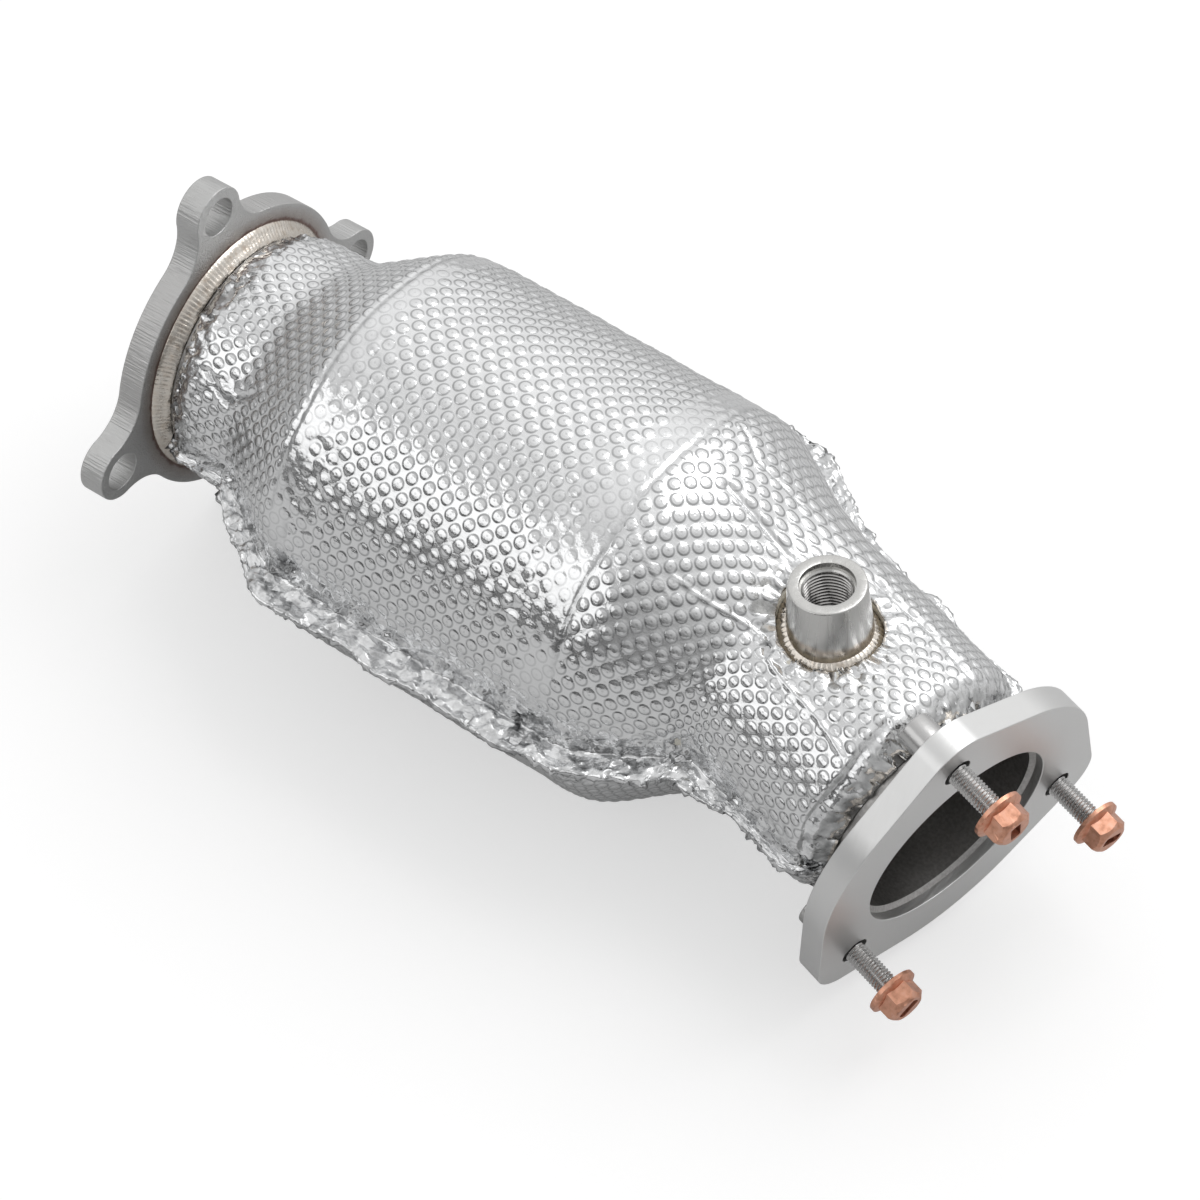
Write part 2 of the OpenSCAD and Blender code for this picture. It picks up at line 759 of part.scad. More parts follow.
// The upper shell's hem is folded round the lower shell's flat rim
function upper_hem(place, edge) =
    let (
        root = ends_closed(place, shell_r(place, 1)),
        low_root = ends_closed(place, shell_r(place, -1)),
        tip = edge - min(hem_fold, edge - low_root - 2 * hem_root),
        top = hem_gap / 2 + shield_t,
        under = -hem_gap * 3 / 2 - shield_t
    )
    [
        [[tip, under - shield_t], [edge, under - shield_t], [edge, top], [root + hem_root, top]],
        [[tip, under], [edge - shield_t, under], [edge - shield_t, hem_gap / 2],
            [root - shield_t + hem_root / 2, hem_gap / 2]]
    ];

function lower_hem(place, folded_edge) =
    let (
        edge = folded_edge - shield_t - hem_gap,
        root = ends_closed(place, shell_r(place, -1)),
        bottom = hem_gap / 2 + shield_t
    )
    [
        [[edge, bottom], [root + hem_root, bottom]],
        [[edge, hem_gap / 2], [root - shield_t + hem_root / 2, hem_gap / 2]]
    ];

function upper_section(place) = shell_loop(place, 1,
    upper_hem(place, folded_edge_r(place, false)), upper_hem(place, folded_edge_r(place, true)));

function lower_section(place) = shell_loop(place, -1,
    lower_hem(place, folded_edge_r(place, false)), lower_hem(place, folded_edge_r(place, true)));

function spread(from, to, step) =
    let (n = max(1, round((to - from) / step)))
        [for (i = [0 : n - 1]) from + (to - from) * i / n];

shield_places = concat(
    spread(path_shield_start, path_shield_start + end_tuck_l, 2.8),
    spread(path_shield_start + end_tuck_l, slope_in_2 + 3 * hem_spread, 7),
    spread(slope_in_2 + 3 * hem_spread, slope_out_1, 20),
    spread(slope_out_1, slope_out_2 + hem_lag, 7),
    spread(slope_out_2 + hem_lag, path_shield_end - end_tuck_l, 9),
    spread(path_shield_end - end_tuck_l, path_shield_end, 2.8),
    [path_shield_end]
);

module bung_opening() {
    bung_axis() cylinder(r = bung_clear_r, h = far / 4, $fn = 48);
}

module upper_shield() {
    color(foil_silver) difference() {
        half_loft(1, shield_places, function(place) upper_section(place));
        bung_opening();
    }
}

module lower_shield() {
    color(foil_silver) half_loft(-1, shield_places, function(place) lower_section(place));
}

// Outside of the hot parts along the path, with room for the bend and seams
mat_start = path_shield_start + mat_end_inset;
mat_end = path_shield_end - mat_end_inset;
bend_room = 1.2;
function hot_r(place) = lookup(place, [
    [slope_in_1, neck_r], [slope_in_2, cone_end_r],
    [path_can + can_start - tube_wall, can_r], [path_can + can_end + tube_wall, can_r],
    [slope_out_1, cone_end_r], [slope_out_2, outlet_r + bend_room],
    [path_bend + bend_ease, outlet_r + bend_room], [path_bend + 2 * bend_ease, outlet_r]
]);

mat_places = concat(
    spread(mat_start, slope_in_1, 10),
    spread(slope_in_1, slope_in_2, 9),
    [slope_in_2, path_can + can_start - tube_wall],
    spread(path_can + can_start + tube_wall, path_can + can_end + tube_wall, 24),
    [path_can + can_end + tube_wall],
    spread(slope_out_1, slope_out_2, 10),
    spread(slope_out_2, mat_end, 10),
    [mat_end]
);

function mat_section(place, side) = concat(
    arc(place, side, shield_t + mat_outer_clear),
    [
        for (i = [arc_steps : -1 : 0])
            polar(hot_r(place) + mat_inner_clear, arc_angle(i)) + [0, hem_gap / 2]
    ]
);

module upper_insulation() {
    color(mat_white) difference() {
        half_loft(1, mat_places, function(place) mat_section(place, 1));
        bung_opening();
    }
}

module lower_insulation() {
    color(mat_white) half_loft(-1, mat_places, function(place) mat_section(place, -1));
}

inlet_flange();
inlet_flange_weld();
neck_tube();
neck_seam();
inlet_cone();
can_shell();
can_inlet_seam();
can_outlet_seam();
core_mantle();
core_corrugated_foil();
core_flat_foil();
outlet_cone();
outlet_seam();
outlet_tube();
outlet_flange();
outlet_flange_weld();
outlet_bore_weld();
flange_screw(1);  // flange_screw_1
flange_screw(2);  // flange_screw_2
flange_screw(3);  // flange_screw_3
flange_nut(1);  // flange_nut_1
flange_nut(2);  // flange_nut_2
flange_nut(3);  // flange_nut_3
sensor_bung();
sensor_bung_weld();
upper_insulation();
lower_insulation();
upper_shield();
lower_shield();
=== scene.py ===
import math
import random

import bmesh
import bpy
import numpy as np
from mathutils import Matrix, Vector, noise


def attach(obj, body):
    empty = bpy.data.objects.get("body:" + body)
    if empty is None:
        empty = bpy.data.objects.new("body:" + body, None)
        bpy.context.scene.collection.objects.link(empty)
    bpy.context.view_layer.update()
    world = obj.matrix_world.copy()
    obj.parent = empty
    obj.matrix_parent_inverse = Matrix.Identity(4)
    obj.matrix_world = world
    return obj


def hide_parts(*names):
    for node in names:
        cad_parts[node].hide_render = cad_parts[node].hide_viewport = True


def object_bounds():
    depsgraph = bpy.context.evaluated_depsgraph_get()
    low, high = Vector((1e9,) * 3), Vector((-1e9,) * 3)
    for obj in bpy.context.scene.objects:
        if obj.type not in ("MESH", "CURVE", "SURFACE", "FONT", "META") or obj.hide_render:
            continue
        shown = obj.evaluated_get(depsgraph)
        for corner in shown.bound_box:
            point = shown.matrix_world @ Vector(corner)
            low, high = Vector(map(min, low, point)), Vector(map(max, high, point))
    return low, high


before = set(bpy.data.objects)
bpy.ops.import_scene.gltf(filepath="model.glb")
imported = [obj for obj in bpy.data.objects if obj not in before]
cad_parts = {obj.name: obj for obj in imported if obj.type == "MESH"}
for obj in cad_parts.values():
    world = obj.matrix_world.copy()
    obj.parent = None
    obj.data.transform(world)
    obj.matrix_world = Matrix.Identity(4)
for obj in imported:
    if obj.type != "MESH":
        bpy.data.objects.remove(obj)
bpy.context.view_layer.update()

# Photographer's camera
# It stands in front of the outlet, to the side and well above, and looks down on the
# part with a long lens.
camera_data = bpy.data.cameras.new("camera")
camera_data.sensor_width = 36.0
camera_data.lens = 107.3
camera = bpy.data.objects.new("camera", camera_data)
bpy.context.scene.collection.objects.link(camera)
camera_right = Vector((0.811978, 0.583689, 0.0))
camera_up = Vector((-0.451847, 0.628574, 0.633032))
camera_back = camera_right.cross(camera_up)
camera_place = Vector((0.63958, -0.65154, 0.94928))
camera.matrix_world = Matrix.Translation(camera_place) @ Matrix(
    (camera_right, camera_up, camera_back)
).transposed().to_4x4()
bpy.context.scene.camera = camera


# Heat shield
# Two half shells of bright stainless foil, rolled with round bosses and crinkled by
# hand as they wrap the mat. The upper one's rim is folded round the lower one's, which
# makes the hem.
class Wire:
    """A socket of a shader. Sums on it add Math nodes, and node() adds any other node."""

    def __init__(self, tree, socket=None):
        self.tree = tree
        self.socket = socket

    def node(self, kind, sockets=(), settings=(), output=0):
        made = self.tree.nodes.new("ShaderNode" + kind)
        for name, value in dict(settings).items():
            if name == "stops":
                ramp = made.color_ramp
                for end, (place, colour) in zip((0, 1), (value[0], value[-1])):
                    ramp.elements[end].position = place
                    ramp.elements[end].color = (*colour, 1.0)
                for place, colour in value[1:-1]:
                    ramp.elements.new(place).color = (*colour, 1.0)
            else:
                setattr(made, name, value)
        for name, value in dict(sockets).items():
            if isinstance(value, Wire):
                self.tree.links.new(value.socket, made.inputs[name])
            else:
                made.inputs[name].default_value = value
        return Wire(self.tree, made.outputs[output])

    def math(self, operation, *values):
        return self.node("Math", dict(enumerate(values)), {"operation": operation})

    def __add__(self, other):
        return self.math("ADD", self, other)

    def __sub__(self, other):
        return self.math("SUBTRACT", self, other)

    def __rsub__(self, other):
        return self.math("SUBTRACT", other, self)

    def __mul__(self, other):
        return self.math("MULTIPLY", self, other)

    def __truediv__(self, other):
        return self.math("DIVIDE", self, other)

    def __pow__(self, other):
        return self.math("POWER", self, other)

    __radd__ = __add__
    __rmul__ = __mul__

    def clipped(self):
        return self.node("Clamp", {"Value": self})

    def ramp(self, *stops):
        return self.node("ValToRGB", {"Fac": self}, {"stops": stops})

    def mix(self, first, second):
        """first where this value is 0, second where it is 1: colours or links of colours."""
        paints = [p if isinstance(p, Wire) else (*p, 1.0) for p in (first, second)]
        return self.node(
            "Mix", {0: self, 6: paints[0], 7: paints[1]}, {"data_type": "RGBA"}, output=2
        )

    def parts(self):
        """The x, y and z of this vector."""
        return [self.node("SeparateXYZ", {0: self}, output=i) for i in range(3)]

    def to(self, shader, name):
        self.tree.links.new(self.socket, shader.inputs[name])


def new_finish(name, colour, roughness, metallic=1.0):
    """A material with one Principled shader, that shader, and a Wire to build on."""
    material = bpy.data.materials.new(name)
    material.use_nodes = True
    shader = material.node_tree.nodes["Principled BSDF"]
    shader.inputs["Base Color"].default_value = (*colour, 1.0)
    shader.inputs["Roughness"].default_value = roughness
    shader.inputs["Metallic"].default_value = metallic
    return material, shader, Wire(material.node_tree)


def bump(wire, height, strength, distance):
    return wire.node("Bump", {"Height": height, "Strength": strength, "Distance": distance})


def object_point(wire):
    return wire.node("TexCoord", output="Object")


def grain(wire, scale, stretch=(1.0, 1.0, 1.0), detail=2.0, turn=(0.0, 0.0, 0.0)):
    """Noise in metres of the object: scale is in cells to the metre."""
    placed = wire.node(
        "Mapping", {"Vector": object_point(wire), "Scale": stretch, "Rotation": turn}
    )
    return wire.node("TexNoise", {"Vector": placed, "Scale": scale, "Detail": detail})


# The map "embossing" counts the bosses along and around, "pressed" says how much
# of them is left, and the facet map holds a painted brightness for each facet of
# crumpled foil, painted shade for the light that it catches.
pitch_along, pitch_around = 7.58, 7.88
# The second colour is painted shade for the steep walls of the bosses.
foil_colour, painted_wall_shade = (0.82, 0.825, 0.83), (0.13, 0.135, 0.14)
foil_bright, foil_shader, foil = new_finish("foil_bright", foil_colour, 0.2)
count_along, count_around, _ = foil.node("UVMap", settings={"uv_map": "embossing"}).parts()
ring = None
for shift in (0.0, 0.5):
    off_along = count_along - shift
    off_around = count_around - shift
    off_along = (off_along - off_along.math("ROUND", off_along)) * pitch_along
    off_around = (off_around - off_around.math("ROUND", off_around)) * pitch_around
    away = (off_along * off_along + off_around * off_around) ** 0.5
    ring = away if ring is None else ring.math("MINIMUM", ring, away)
top_r, foot_r, wall_r, wall_half, pin_r = 1.6, 2.6, 2.15, 0.49, 0.65
down = ((ring - top_r) / (foot_r - top_r)).clipped()
dome = 1 - down * down * (3 - 2 * down)
spot = (1 - ring / pin_r).clipped()
wall = (1 - (ring - wall_r) * (ring - wall_r) / wall_half**2).clipped()
left = foil.node("Attribute", settings={"attribute_name": "pressed"}, output=2)
fine_crinkle = grain(foil, 520.0, detail=2.0)
rough_patch = grain(foil, 60.0)
(rough_patch * 0.12 + 0.12).to(foil_shader, "Roughness")
# Painted shade: the steep wall round each boss and the pin's mark on its top are
# painted darker, for the dark room that they reflect, and crumpled foil is painted as
# a patchwork of bright and dark facets, for the light that each facet catches.
walls = ((wall * 0.48 + spot * 0.3) * left).mix(foil_colour, painted_wall_shade)
# Painted shade: each crumpled facet gets a bright or dark painted tone.
facet = foil.node("Attribute", settings={"attribute_name": "facet"}, output=2)
painted_facet_shade = (facet + fine_crinkle * 0.5 - 0.25).clipped().ramp(
    (0.12, (0.14, 0.142, 0.145)),
    (0.4, (0.40, 0.405, 0.41)),
    (0.62, (0.74, 0.745, 0.75)),
    (0.85, (0.88, 0.885, 0.89)),
)
crumpled = ((0.4 - left) / 0.3).clipped()
crumpled.mix(walls, painted_facet_shade).to(foil_shader, "Base Color")
crinkled = bump(foil, fine_crinkle, 0.35, 0.0004)
stamped = (dome - spot * 0.5) * left
bossed = foil.node(
    "Bump", {"Height": stamped, "Strength": 1.0, "Distance": 0.00012, "Normal": crinkled}
)
bossed.to(foil_shader, "Normal")

MM = 0.001
neck_l, can_tilt, outlet_bend = 20.0, 1.2, 15.0
bend_place, bend_ease = 252.0, 12.0
bend_clock, hem_clock = math.radians(205.3), math.radians(-18.3)
slope_in, slope_out = (45.0, 79.0), (203.0, 241.0)
shield_start, shield_end = 16.5, 319.5
sheet, sheet_gap = 0.6, 0.3


def polar(radius, degrees):
    angle = np.radians(degrees)
    return np.stack([radius * np.cos(angle), radius * np.sin(angle)], -1)


def middle_line(place):
    """The gas path's middle line in the bend plane: its points and headings."""
    can_run = bend_place - neck_l
    start = np.array([neck_l, 0.0])
    corner = start + polar(can_run, can_tilt)
    ease_in = start + polar(can_run - bend_ease, can_tilt)
    ease_out = corner + polar(bend_ease, can_tilt + outlet_bend)
    turned = np.clip((place - bend_place + bend_ease) / (2 * bend_ease), 0, 1)
    t = turned[..., None]
    rounded = (1 - t) ** 2 * ease_in + 2 * t * (1 - t) * corner + t**2 * ease_out
    neck = np.stack([place, 0 * place], -1)
    can = start + polar(place - neck_l, can_tilt)
    outlet = corner + polar(place - bend_place, can_tilt + outlet_bend)
    points = np.where(t <= 0, can, np.where(t >= 1, outlet, rounded))
    points = np.where(place[..., None] < neck_l, neck, points)
    return points, np.where(place < neck_l, 0.0, can_tilt + outlet_bend * turned)


def in_row_frame(place, side, across, rise):
    """Points across the path towards the near hem and away from the hem, in metres."""
    points, heading = middle_line(place)
    heading = np.radians(heading)
    lateral = across * math.cos(hem_clock) + side * rise * math.sin(hem_clock)
    height = across * math.sin(hem_clock) - side * rise * math.cos(hem_clock)
    x = points[..., 0] - lateral * np.sin(heading)
    y = points[..., 1] + lateral * np.cos(heading)
    turned_y = y * math.cos(bend_clock) - height * math.sin(bend_clock)
    turned_z = y * math.sin(bend_clock) + height * math.cos(bend_clock)
    return np.stack([x, turned_y, turned_z], -1) * MM


def eased(place, start, end):
    """A slope from 0 to 1 with rounded corners."""
    softness = 0.07
    t = (place - start) / (end - start)
    return softness * (np.logaddexp(0, t / softness) - np.logaddexp(0, (t - 1) / softness))


def closed_in(place, radius):
    """The foil closes in on the tubes over its last millimetres."""
    neck_end, outlet_end, tuck = 45.6, 39.2, 11.0
    a = np.clip((place - shield_start) / tuck, 0, 1)
    b = np.clip((shield_end - place) / tuck, 0, 1)
    radius = neck_end + (radius - neck_end) * np.sin(a * math.pi / 2)
    return outlet_end + (radius - outlet_end) * np.sin(b * math.pi / 2)


def shell_radius(place, side):
    neck_r, can_r, outlet_r = 49.0, 70.5 if side > 0 else 76.25, outlet_shell_r
    lag_in, lag_out = 2.0, 9.0 if side > 0 else 12.0
    widened = eased(place, slope_in[0] + lag_in, slope_in[1] + lag_in)
    narrowed = eased(place, slope_out[0] + lag_out, slope_out[1] + lag_out)
    return neck_r + (can_r - neck_r) * widened - (can_r - outlet_r) * narrowed


def hem_radius(place, near):
    """Radius of the hem's folded edge."""
    neck_edge, least_width = 52.5, 4.0
    can_edge, tube_edge, lag = (82.1, 57.4, 24.0) if near else (78.9, 53.8, 12.0)
    end_edge = 48.0 if near else tube_edge
    slope_end = slope_out[1] + lag
    edge = neck_edge + (can_edge - neck_edge) * eased(place, slope_in[0] - 2, slope_in[1] + 2)
    edge = edge - (can_edge - tube_edge) * eased(place, slope_out[0], slope_end)
    drawn_in = np.maximum(0, place - slope_end) / (shield_end - slope_end)
    edge = edge - (tube_edge - end_edge) * drawn_in
    long_wave, short_wave, wave_high = 43, 27, 0.9
    wave = np.sin(np.radians(360 * place / long_wave))
    wave = wave + 0.6 * np.sin(np.radians(360 * place / short_wave + 40))
    widest = np.maximum(shell_radius(place, 1), shell_radius(place, -1))
    edge = np.maximum(edge + wave_high * wave, widest + least_width)
    return closed_in(place, edge - least_width) + least_width


# The foil dips by bung_tuck round the sensor bung, at a place along and an angle round.
bung_place, bung_angle, bung_tuck, bead_r, outlet_shell_r = 267.4, 93.7, 6.0, 17.2, 48.5


def sheet_section(place, side, inner, counts):
    """Across and rise of the sheet's points at each place, from the near hem's tip
    over the arc to the far hem's, and the arc's angles."""
    fold_n, edge_n, hem_n, root_n, arc_n = counts
    root = closed_in(place, shell_radius(place, side))
    low_root = closed_in(place, shell_radius(place, -1))
    inset = sheet if inner else 0.0
    flat = sheet_gap / 2 + (0.0 if inner else sheet)
    under = -sheet_gap * 1.5 - sheet - (0.0 if inner else sheet)
    arc_start = 5.0

    def hem_side(edge):
        corners = []
        if side > 0:
            tip = edge - np.minimum(4.0, edge - low_root - 2.4)
            edge = edge - inset
            corners += [(tip, under, fold_n), (edge, under, edge_n)]
        else:
            edge = edge - sheet - sheet_gap
        root_r = root - sheet + 0.6 if inner else root + 1.2
        corners += [(edge, flat, hem_n), (root_r, flat, root_n)]
        start = polar(root - inset, arc_start)
        corners += [(start[..., 0], start[..., 1] + sheet_gap / 2, 0)]
        line = []
        for (a0, r0, n), (a1, r1, _) in zip(corners, corners[1:]):
            for t in np.linspace(0, 1, n, endpoint=False):
                line.append(np.stack([a0 + (a1 - a0) * t, r0 + (r1 - r0) * t + 0 * a0], -1))
        return np.stack(line, 1)

    near = hem_side(hem_radius(place, True))
    far = hem_side(hem_radius(place, False)) * np.array([-1.0, 1.0])
    angles = np.linspace(arc_start, 180 - arc_start, arc_n)
    around = (angles[None] - bung_angle) * outlet_shell_r * math.pi / 180
    along = (place - bung_place)[:, None]
    reach = bead_r + 0.8 + bung_tuck
    tucked = bung_tuck * np.exp(-(along**2 + around**2) / reach**2) if side > 0 else 0.0
    arc = polar(root[:, None] - tucked - inset, angles[None] + 0 * along)
    arc = arc + np.array([0.0, sheet_gap / 2])
    section = np.concatenate([near, arc, far[:, ::-1]], 1)
    n = near.shape[1]
    step = angles[1] - angles[0]
    all_angles = np.concatenate(
        [arc_start - step * np.arange(n, 0, -1), angles, 180 - arc_start + step * np.arange(1, n + 1)]
    )
    return section, all_angles


def places_along(rows):
    """Places at even distances along the shell's own slope."""
    fine = np.linspace(shield_start, shield_end, 3000)
    rise = np.gradient(shell_radius(fine, 1), fine)
    run = np.concatenate([[0], np.cumsum(np.sqrt(1 + rise**2))[:-1]]) * (fine[1] - fine[0])
    return np.interp(np.linspace(0, run[-1], rows), run, fine)


def boss_height(along, around):
    """Height of the embossing, from 0 to 1: bosses in rows offset by half."""
    foot, top = 2.85, 0.5
    nearest = None
    for shift in (0.0, 0.5):
        a = along / pitch_along - shift
        b = around / pitch_around - shift
        away = np.hypot((a - np.round(a)) * pitch_along, (b - np.round(b)) * pitch_around)
        nearest = away if nearest is None else np.minimum(nearest, away)
    t = np.clip((nearest - top) / (foot - top), 0, 1)
    return 0.5 + 0.5 * np.cos(math.pi * t)


def field(points, scale, seed, call):
    """A noise value for each of the points, which are in metres."""
    shift = Vector((seed * 7.3, seed * 3.1, seed * 5.7))
    flat = (points.reshape(-1, 3) / (scale * MM)).tolist()
    return np.array([call(Vector(p) + shift) for p in flat]).reshape(points.shape[:-1])


def near_zero(distance, width):
    return np.exp(-((distance / width) ** 2))


def beyond(value, low, high):
    """How far a value lies outside a range."""
    return np.maximum(0, np.maximum(low - value, value - high))


def shards(points, scale, seed, where):
    """Crumpled foil: flat facets between sharp creases, about -0.5 to 0.5 high, and a
    painted brightness for each, from 0 to 1, painted shade for the light each catches."""
    height = np.zeros(points.shape[:-1])
    shade = np.full(points.shape[:-1], 0.5)
    for size, share in ((scale, 0.7), (scale * 0.45, 0.3)):
        chosen = np.argwhere(where > 0.03)
        for row, column in chosen:
            place = Vector(points[row, column] / (size * MM)) + Vector((seed, seed * 2, seed * 3))
            _, spots = noise.voronoi(place)
            lean = Vector(spots[0])
            tilt = noise.noise_vector(lean * 3.7)
            height[row, column] += share * (tilt.dot(place - lean) * 1.5 + 0.5 * tilt.x)
            shade[row, column] += share * 0.9 * tilt.y
    return height, shade


def to_line(place, v, corners):
    """Distance from a folded line whose corners are (place, v)."""
    least = np.full(place.shape, 1e3)
    for (x0, y0), (x1, y1) in zip(corners, corners[1:]):
        run, rise = x1 - x0, y1 - y0
        t = np.clip(((place - x0) * run + (v - y0) * rise) / (run**2 + rise**2), 0, 1)
        least = np.minimum(least, np.hypot(place - x0 - run * t, v - y0 - rise * t))
    return least


# Creases of the upper shell, each with its corners, width and height in mm. v is
# the distance round the shell from its crown, positive towards the near hem.
creases = (
    ([(81.5, -70), (82.6, -20), (81.6, 12), (82.4, 40), (81.4, 60), (82, 78)], 0.9, -0.55),
    ([(203.5, -60), (204.6, -20), (203, 10), (203.8, 30), (202.5, 50), (204, 80)], 1.0, -0.8),
    ([(225, 24), (235, 23), (250, 19), (262, 18)], 0.8, 1.0),
    ([(265, 22), (285, 24), (306, 27)], 1.3, 1.2),
    ([(222, -12), (234, -11), (246, -9)], 1.4, -1.3),
    ([(264, -30), (285, -31), (310, -28)], 1.5, -1.5),
    ([(253, -6), (253.5, 6), (256, 14), (263, 21)], 1.0, -1.3),
    ([(30, 38), (40, 42), (53, 37)], 1.3, -1.2),
    ([(309, 8), (312, 30), (311, 52), (315, 72)], 1.5, -2.0),
    ([(207, 18), (216, 26), (228, 31)], 0.8, 0.8),
    ([(209, -40), (222, -30), (240, -34)], 0.9, -0.9),
)
boss_high, sway_high, fold_high, fold_size, wrinkle_high = 0.46, 0.5, 2.6, 5.0, 0.7
crumpled_bands, flattened_bands = ((92.0, 100.0), (180.0, 188.0)), ((83.0, 90.0), (192.0, 202.0))
dent_place, dent_v = 41, 40
hole_r, hole_reach = 17.9, 26.0
bung_top = Vector((270.19633, -11.91451, 58.61925)) * MM
bung_line = np.array((-0.0974282, -0.017018, 0.995097))
bung_axis = Vector(bung_line)


def from_bung(points):
    """Distance from the sensor bung's axis, in mm, on the bung's side of the pipe."""
    gap = points - np.array(bung_top)
    height = gap @ bung_line
    across = np.linalg.norm(gap - height[..., None] * bung_line, axis=-1) / MM
    return np.where(height > -0.06, across, 1e3)


def new_piece(name, mesh, material, body="root"):
    piece = bpy.data.objects.new(name, mesh)
    bpy.context.scene.collection.objects.link(piece)
    mesh.materials.append(material)
    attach(piece, body)
    return piece


def half_shell(name, side, seed, rows, counts, coarse_rows, coarse_counts, node):
    """One shell: a fine outer skin with all its dents, a plain inner one, and their rims."""

    def skin(row_n, column_counts, inner):
        place = places_along(row_n)
        section, angles = sheet_section(place, side, inner, column_counts)
        grid = place[:, None] + 0 * section[..., 0]
        points = in_row_frame(grid, side, section[..., 0], section[..., 1])
        along_row = np.gradient(points, axis=0)
        along_column = np.gradient(points, axis=1)
        normal = np.cross(along_row, along_column) * side
        normal /= np.linalg.norm(normal, axis=-1, keepdims=True)
        radius = closed_in(place, shell_radius(place, side))[:, None]
        v = np.radians(90 - angles[None]) * radius
        rise = np.gradient(shell_radius(place, 1), place)
        run = np.concatenate([[0], np.cumsum(np.diff(place) * np.sqrt(1 + rise[1:] ** 2))])
        along = run[:, None] + 0 * v
        if inner:
            # The inner skin gets a middling painted facet tone, for where it shows through the outer.
            return points, along, v, 0 * v, 0 * v + 0.6
        from_hem = np.radians(85) * radius - np.abs(v)
        # Crumpled most at the hem and the ends, and less beside the can's seams, round
        # the bung and at one dent in the neck.
        inner_part = near_zero(beyond(grid, shield_start + 13, shield_end - 12), 6.0)
        at_hem = near_zero(beyond(from_hem, -math.inf, 1.5), 5.5)
        crumple = 1 - inner_part * (1 - 0.9 * at_hem)
        at_seams = sum(near_zero(beyond(grid, *band), 2.5) for band in crumpled_bands)
        crumple += 0.38 * at_seams * near_zero(beyond(v, 10.0, 95.0), 12.0)
        bung_gap = from_bung(points)
        crumple += 0.5 * near_zero(beyond(bung_gap, 0, 22.0), 3.0) * (side > 0)
        dent_gap = np.hypot(grid - dent_place, (v - dent_v) * 1.5)
        crumple += 0.8 * near_zero(dent_gap, 9.0) * (side > 0)
        crumple = np.clip(crumple, 0, 1)
        sway = field(points, 22.0, seed, noise.noise)
        wander = field(points, 30.0, seed + 2, noise.noise)
        folds, shade = shards(points, fold_size, seed, crumple)
        lift = sway_high * sway + fold_high * crumple * folds
        # The bosses are pressed nearly flat in a band beside each seam and in the folds.
        pressed = np.ones_like(grid)
        for band in flattened_bands:
            pressed *= 1 - 0.6 * near_zero(beyond(grid, *band), 1.5)
        pressed *= 1 - 0.85 * crumple
        for corners, width, height in creases if side > 0 else ():
            gap = to_line(grid, v + 1.2 * wander * 3, corners)
            lift += height * (near_zero(gap, width) - 0.45 * near_zero(gap, width * 2.6))
            pressed *= 1 - 0.7 * near_zero(gap, width * 1.3)
        if side > 0:
            turn = np.arctan2(v - np.radians(90 - bung_angle) * radius, grid - bung_place)
            wrinkle = np.sin(turn * 17 + 4 * wander) * near_zero(beyond(bung_gap, 17.0, 22.0), 2.5)
            lift += wrinkle_high * wrinkle
        count_along = (along - 62 + wander) / pitch_along
        count_around = (v * np.sqrt(70.5 / radius) + 0.7 * wander) / pitch_around
        boss = boss_height(count_along * pitch_along, count_around * pitch_around)
        lift += boss_high * boss * pressed
        points = points + normal * (lift * MM)[..., None]
        return points, count_along, count_around, pressed, shade

    mesh = bpy.data.meshes.new(name)
    shell = bmesh.new()
    count_map = shell.loops.layers.uv.new("embossing")
    left_layer = shell.verts.layers.float.new("pressed")
    shade_layer = shell.verts.layers.float.new("facet")
    for row_n, column_counts, inner in (
        (rows, counts, False),
        (coarse_rows, coarse_counts, True),
    ):
        points, bosses_along, bosses_around, pressed, shade = skin(row_n, column_counts, inner)
        made = bmesh.ops.create_grid(
            shell, x_segments=points.shape[1] - 1, y_segments=row_n - 1, size=0.5
        )
        cut_away = []
        for vertex in made["verts"]:
            column = round((vertex.co.x + 0.5) * (points.shape[1] - 1))
            row = round((vertex.co.y + 0.5) * (row_n - 1))
            vertex.co = points[row, column]
            vertex[left_layer] = pressed[row, column]
            vertex[shade_layer] = shade[row, column]
            if not inner:
                for loop in vertex.link_loops:
                    loop[count_map].uv = (bosses_along[row, column], bosses_around[row, column])
        if inner:
            bmesh.ops.reverse_faces(
                shell, faces=list({f for v in made["verts"] for f in v.link_faces})
            )
        if side > 0:
            reach = dict(zip(made["verts"], from_bung(np.array([v.co for v in made["verts"]]))))
            cut_away = [v for v, gap in reach.items() if gap < hole_r]
            bmesh.ops.delete(shell, geom=cut_away, context="VERTS")
    rims = [e for e in shell.edges if e.is_boundary]
    if side > 0:
        ends = {v: from_bung(np.array(v.co)) for e in rims for v in e.verts}
        hole = [e for e in rims if all(ends[v] < hole_reach for v in e.verts)]
        for vertex in {v for e in hole for v in e.verts}:
            gap = Vector(vertex.co) - bung_top
            height = gap.dot(bung_axis)
            outward = gap - bung_axis * height
            ragged = hole_r + 0.5 * noise.noise(outward.normalized() * 5)
            vertex.co -= outward - outward.normalized() * ragged * MM
        bmesh.ops.bridge_loops(shell, edges=hole)
        rims = [e for e in shell.edges if e.is_boundary]
    bmesh.ops.bridge_loops(shell, edges=rims)
    if side > 0:
        bmesh.ops.reverse_faces(shell, faces=shell.faces)
    for face in shell.faces:
        face.smooth = True
    shell.to_mesh(mesh)
    shell.free()
    piece = new_piece(name, mesh, foil_bright)
    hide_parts(node)


